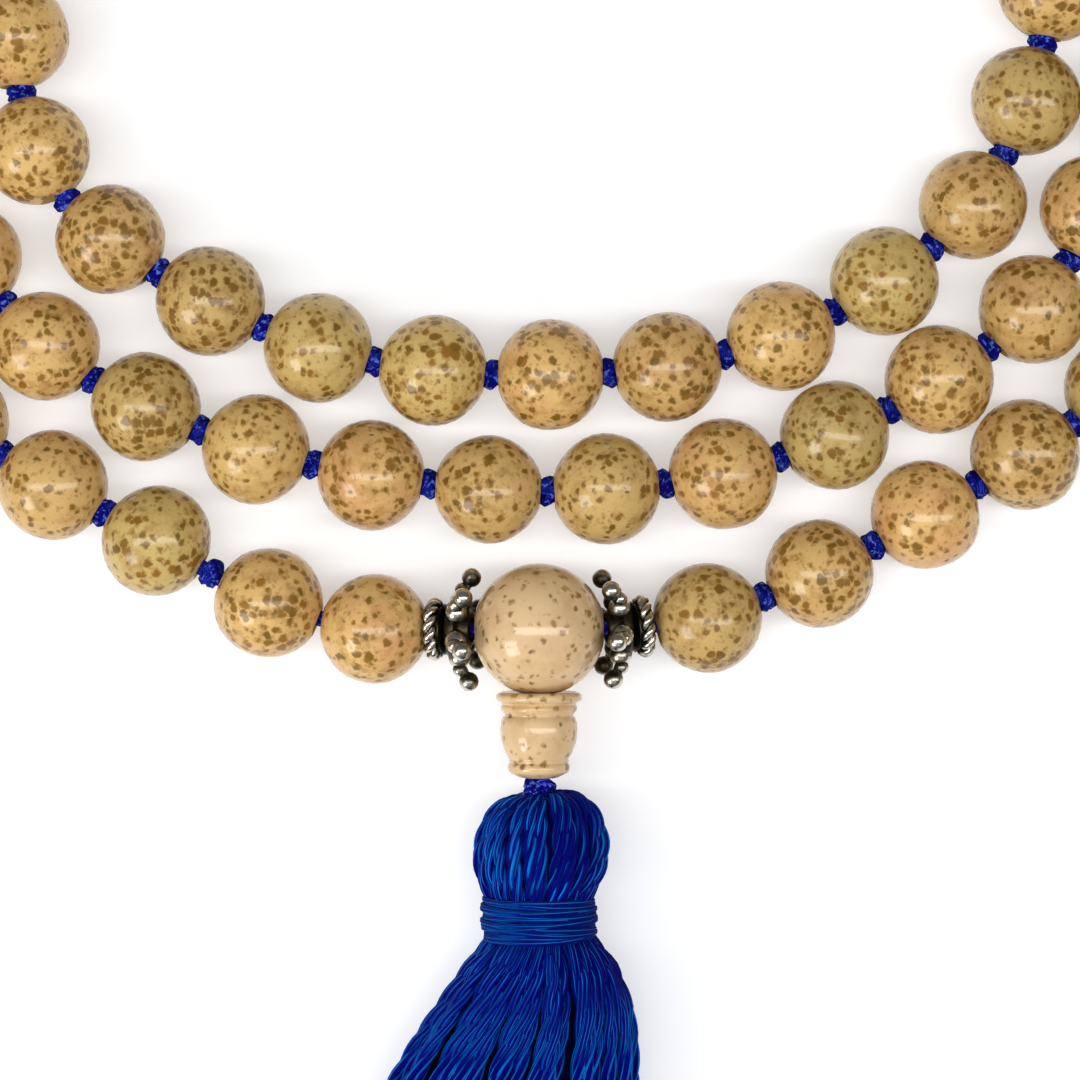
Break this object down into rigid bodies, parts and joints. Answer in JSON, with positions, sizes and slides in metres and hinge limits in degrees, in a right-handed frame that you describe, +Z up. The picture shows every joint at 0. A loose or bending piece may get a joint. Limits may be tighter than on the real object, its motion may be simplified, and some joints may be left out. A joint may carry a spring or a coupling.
{
  "type": "mala prayer beads",
  "caption": "Knotted string of dotted seed beads laid in a flat coil, with a larger guru bead, star caps, tower bead and a yarn tassel.",
  "frame": {"origin": "under the middle of the whole piece, on the surface it lies on", "axes": "+Z up off the surface, -Y towards the end of the tassel, +X to the right as seen from above with the tassel towards the viewer"},
  "size_m": [0.1296, 0.2084, 0.0162],
  "materials": {
    "seed": "polished dotted seed, tan to pinkish brown",
    "pale_seed": "polished pale seed with sparse dots",
    "silver": "granulated silver, dark in the hollows",
    "blue_cord": "braided blue cord",
    "blue_yarn": "twisted blue yarn"
  },
  "bodies": {
    "coil": {"inner_cord": "blue_cord", "middle_cord": "blue_cord", "outer_run_left": "seed", "outer_run_right": "seed", "middle_run_left": "seed", "middle_run_right": "seed"},
    "fold_row": {"fold_bead_outer_right": "seed", "fold_bead_outer_left": "seed", "fold_bead_middle_right": "seed", "fold_bead_middle_left": "seed", "fold_bead_inner_right": "seed", "fold_bead_inner_left": "seed"},
    "back_turns": {"back_run_outer": "seed", "back_run_middle": "seed", "back_run_crossing": "seed"},
    "front_string": {"guru_cord": "blue_cord"},
    "guru": {"guru_bead": "pale_seed", "pendant_cord": "blue_cord"},
    "tower": {"tower_bead": "pale_seed"},
    "tie": {"tie_knot": "blue_cord"},
    "tassel_top": {"tassel_head": "blue_yarn", "tassel_wrap": "blue_yarn"},
    "skirt_upper": {"tassel_skirt_upper": "blue_yarn"},
    "skirt_lower": {"tassel_skirt_lower": "blue_yarn"},
    "star_cap_left": {"star_cap_left": "silver"},
    "rope_ring_left": {"rope_ring_left": "silver"},
    "star_cap_right": {"star_cap_right": "silver"},
    "rope_ring_right": {"rope_ring_right": "silver"},
    "front_bead_right_01": {"front_bead_right_01": "seed"},
    "front_bead_right_02": {"front_bead_right_02": "seed"},
    "front_bead_right_03": {"front_bead_right_03": "seed"},
    "front_bead_left_01": {"front_bead_left_01": "seed"},
    "front_bead_left_02": {"front_bead_left_02": "seed"},
    "front_bead_left_03": {"front_bead_left_03": "seed"},
    "middle_bead_01": {"middle_bead_01": "seed"},
    "middle_bead_02": {"middle_bead_02": "seed"},
    "middle_bead_03": {"middle_bead_03": "seed"},
    "middle_bead_04": {"middle_bead_04": "seed"},
    "middle_bead_05": {"middle_bead_05": "seed"},
    "middle_bead_06": {"middle_bead_06": "seed"},
    "middle_bead_07": {"middle_bead_07": "seed"},
    "middle_bead_08": {"middle_bead_08": "seed"},
    "middle_bead_09": {"middle_bead_09": "seed"},
    "middle_bead_10": {"middle_bead_10": "seed"},
    "middle_bead_11": {"middle_bead_11": "seed"},
    "middle_bead_12": {"middle_bead_12": "seed"},
    "inner_bead_01": {"inner_bead_01": "seed"},
    "inner_bead_02": {"inner_bead_02": "seed"},
    "inner_bead_03": {"inner_bead_03": "seed"},
    "inner_bead_04": {"inner_bead_04": "seed"},
    "inner_bead_05": {"inner_bead_05": "seed"},
    "inner_bead_06": {"inner_bead_06": "seed"},
    "inner_bead_07": {"inner_bead_07": "seed"},
    "inner_bead_08": {"inner_bead_08": "seed"},
    "inner_bead_09": {"inner_bead_09": "seed"},
    "inner_bead_10": {"inner_bead_10": "seed"},
    "inner_bead_11": {"inner_bead_11": "seed"},
    "inner_bead_12": {"inner_bead_12": "seed"},
    "inner_bead_13": {"inner_bead_13": "seed"},
    "inner_bead_14": {"inner_bead_14": "seed"}
  },
  "joints": [
    {"name": "fold_first", "type": "hinge", "parent": "coil", "child": "fold_row", "pos_m": [-0.00016, 0.0385, 0.00402], "axis": [0.9978, -0.0659, 0], "range_deg": [0, 40]},
    {"name": "fold_second", "type": "hinge", "parent": "fold_row", "child": "back_turns", "pos_m": [0.00043, 0.04742, 0.00402], "axis": [0.9978, -0.0659, 0], "range_deg": [0, 40]},
    {"name": "front_lift", "type": "hinge", "parent": "coil", "child": "front_string", "pos_m": [-0.00001, -0.00736, 0.00402], "axis": [-0.9995, -0.0318, 0], "range_deg": [0, 60]},
    {"name": "pendant_lift", "type": "hinge", "parent": "front_string", "child": "guru", "pos_m": [-0.00016, -0.01721, 0.00502], "axis": [-1, 0, 0], "range_deg": [0, 75]},
    {"name": "tower_turn", "type": "hinge", "parent": "guru", "child": "tower", "pos_m": [-0.00016, -0.02521, 0.00502], "axis": [0, -1, 0], "continuous": true},
    {"name": "tassel_lift", "type": "hinge", "parent": "guru", "child": "tie", "pos_m": [-0.00016, -0.0295, 0.00502], "axis": [-1, 0, 0], "range_deg": [0, 25]},
    {"name": "tassel_sway", "type": "hinge", "parent": "tie", "child": "tassel_top", "pos_m": [-0.00016, -0.0295, 0.00502], "axis": [0, 0, 1], "range_deg": [-25, 25]},
    {"name": "skirt_bend_upper", "type": "hinge", "parent": "tassel_top", "child": "skirt_upper", "pos_m": [-0.00016, -0.04095, 0.00947], "axis": [-1, 0, 0], "range_deg": [0, 15]},
    {"name": "skirt_bend_lower", "type": "hinge", "parent": "skirt_upper", "child": "skirt_lower", "pos_m": [-0.00536, -0.06935, 0.00832], "axis": [-1, 0, 0], "range_deg": [0, 15]},
    {"name": "star_cap_left_turn", "type": "hinge", "parent": "front_string", "child": "star_cap_left", "pos_m": [-0.00651, -0.01721, 0.0049], "axis": [0.988, 0, 0.1548], "continuous": true},
    {"name": "rope_ring_left_turn", "type": "hinge", "parent": "front_string", "child": "rope_ring_left", "pos_m": [-0.00802, -0.01721, 0.00459], "axis": [0.9825, 0, 0.186], "continuous": true},
    {"name": "star_cap_right_turn", "type": "hinge", "parent": "front_string", "child": "star_cap_right", "pos_m": [0.00618, -0.01707, 0.0049], "axis": [0.9862, 0.0604, -0.1541], "continuous": true},
    {"name": "rope_ring_right_turn", "type": "hinge", "parent": "front_string", "child": "rope_ring_right", "pos_m": [0.00769, -0.01695, 0.0046], "axis": [0.9777, 0.0973, -0.1859], "continuous": true},
    {"name": "front_bead_right_01_turn", "type": "hinge", "parent": "front_string", "child": "front_bead_right_01", "pos_m": [0.01262, -0.0163, 0.00405], "axis": [0.9635, 0.2639, -0.0452], "continuous": true},
    {"name": "front_bead_right_02_turn", "type": "hinge", "parent": "front_string", "child": "front_bead_right_02", "pos_m": [0.0211, -0.01298, 0.00402], "axis": [0.9059, 0.4235, -0.0026], "continuous": true},
    {"name": "front_bead_right_03_turn", "type": "hinge", "parent": "front_string", "child": "front_bead_right_03", "pos_m": [0.02909, -0.00859, 0.00402], "axis": [0.87, 0.493, 0.0001], "continuous": true},
    {"name": "front_bead_left_01_turn", "type": "hinge", "parent": "front_string", "child": "front_bead_left_01", "pos_m": [-0.02915, -0.01051, 0.00402], "axis": [0.877, -0.4805, 0], "continuous": true},
    {"name": "front_bead_left_02_turn", "type": "hinge", "parent": "front_string", "child": "front_bead_left_02", "pos_m": [-0.02062, -0.0152, 0.00402], "axis": [0.9337, -0.3582, 0.0009], "continuous": true},
    {"name": "front_bead_left_03_turn", "type": "hinge", "parent": "front_string", "child": "front_bead_left_03", "pos_m": [-0.01263, -0.0172, 0.00407], "axis": [0.9904, -0.1265, 0.0556], "continuous": true},
    {"name": "middle_bead_01_turn", "type": "hinge", "parent": "coil", "child": "middle_bead_01", "pos_m": [-0.04351, 0.01094, 0.00402], "axis": [0.5848, -0.8112, 0], "continuous": true},
    {"name": "middle_bead_02_turn", "type": "hinge", "parent": "coil", "child": "middle_bead_02", "pos_m": [-0.03761, 0.00424, 0.00402], "axis": [0.7685, -0.6399, 0], "continuous": true},
    {"name": "middle_bead_03_turn", "type": "hinge", "parent": "coil", "child": "middle_bead_03", "pos_m": [-0.02995, -0.00036, 0.00402], "axis": [0.8988, -0.4384, 0], "continuous": true},
    {"name": "middle_bead_04_turn", "type": "hinge", "parent": "coil", "child": "middle_bead_04", "pos_m": [-0.02161, -0.00359, 0.00402], "axis": [0.9562, -0.2929, 0], "continuous": true},
    {"name": "middle_bead_05_turn", "type": "hinge", "parent": "coil", "child": "middle_bead_05", "pos_m": [-0.01289, -0.00557, 0.00402], "axis": [0.9858, -0.168, 0], "continuous": true},
    {"name": "middle_bead_06_turn", "type": "hinge", "parent": "coil", "child": "middle_bead_06", "pos_m": [-0.004, -0.00661, 0.00402], "axis": [0.9983, -0.0582, 0], "continuous": true},
    {"name": "middle_bead_07_turn", "type": "hinge", "parent": "coil", "child": "middle_bead_07", "pos_m": [0.00494, -0.0066, 0.00402], "axis": [0.9977, 0.0671, 0], "continuous": true},
    {"name": "middle_bead_08_turn", "type": "hinge", "parent": "coil", "child": "middle_bead_08", "pos_m": [0.01381, -0.00541, 0.00402], "axis": [0.9737, 0.2276, 0], "continuous": true},
    {"name": "middle_bead_09_turn", "type": "hinge", "parent": "coil", "child": "middle_bead_09", "pos_m": [0.02227, -0.00253, 0.00402], "axis": [0.9172, 0.3985, 0], "continuous": true},
    {"name": "middle_bead_10_turn", "type": "hinge", "parent": "coil", "child": "middle_bead_10", "pos_m": [0.03016, 0.00168, 0.00402], "axis": [0.8419, 0.5396, 0], "continuous": true},
    {"name": "middle_bead_11_turn", "type": "hinge", "parent": "coil", "child": "middle_bead_11", "pos_m": [0.0373, 0.00703, 0.00402], "axis": [0.6905, 0.7233, 0], "continuous": true},
    {"name": "middle_bead_12_turn", "type": "hinge", "parent": "coil", "child": "middle_bead_12", "pos_m": [0.04203, 0.0146, 0.00402], "axis": [0.4718, 0.8817, 0], "continuous": true},
    {"name": "inner_bead_01_turn", "type": "hinge", "parent": "coil", "child": "inner_bead_01", "pos_m": [-0.03998, 0.03666, 0.00402], "axis": [-0.041, -0.9992, 0], "continuous": true},
    {"name": "inner_bead_02_turn", "type": "hinge", "parent": "coil", "child": "inner_bead_02", "pos_m": [-0.03996, 0.02776, 0.00402], "axis": [0.0553, -0.9985, 0], "continuous": true},
    {"name": "inner_bead_03_turn", "type": "hinge", "parent": "coil", "child": "inner_bead_03", "pos_m": [-0.03831, 0.01904, 0.00402], "axis": [0.3794, -0.9253, 0], "continuous": true},
    {"name": "inner_bead_04_turn", "type": "hinge", "parent": "coil", "child": "inner_bead_04", "pos_m": [-0.03263, 0.01231, 0.00402], "axis": [0.7717, -0.636, 0], "continuous": true},
    {"name": "inner_bead_05_turn", "type": "hinge", "parent": "coil", "child": "inner_bead_05", "pos_m": [-0.02506, 0.00765, 0.00402], "axis": [0.8872, -0.4614, 0], "continuous": true},
    {"name": "inner_bead_06_turn", "type": "hinge", "parent": "coil", "child": "inner_bead_06", "pos_m": [-0.01692, 0.00408, 0.00402], "axis": [0.9553, -0.2957, 0], "continuous": true},
    {"name": "inner_bead_07_turn", "type": "hinge", "parent": "coil", "child": "inner_bead_07", "pos_m": [-0.00819, 0.0024, 0.00402], "axis": [0.9936, -0.113, 0], "continuous": true},
    {"name": "inner_bead_08_turn", "type": "hinge", "parent": "coil", "child": "inner_bead_08", "pos_m": [0.0007, 0.0021, 0.00402], "axis": [0.9999, 0.0109, 0], "continuous": true},
    {"name": "inner_bead_09_turn", "type": "hinge", "parent": "coil", "child": "inner_bead_09", "pos_m": [0.00958, 0.00268, 0.00402], "axis": [0.9863, 0.1647, 0], "continuous": true},
    {"name": "inner_bead_10_turn", "type": "hinge", "parent": "coil", "child": "inner_bead_10", "pos_m": [0.01816, 0.00498, 0.00402], "axis": [0.9306, 0.366, 0], "continuous": true},
    {"name": "inner_bead_11_turn", "type": "hinge", "parent": "coil", "child": "inner_bead_11", "pos_m": [0.02601, 0.00914, 0.00402], "axis": [0.8282, 0.5605, 0], "continuous": true},
    {"name": "inner_bead_12_turn", "type": "hinge", "parent": "coil", "child": "inner_bead_12", "pos_m": [0.03274, 0.01492, 0.00402], "axis": [0.6146, 0.7888, 0], "continuous": true},
    {"name": "inner_bead_13_turn", "type": "hinge", "parent": "coil", "child": "inner_bead_13", "pos_m": [0.03676, 0.02283, 0.00402], "axis": [0.3424, 0.9396, 0], "continuous": true},
    {"name": "inner_bead_14_turn", "type": "hinge", "parent": "coil", "child": "inner_bead_14", "pos_m": [0.03886, 0.03147, 0.00402], "axis": [0.1718, 0.9851, 0], "continuous": true}
  ]
}
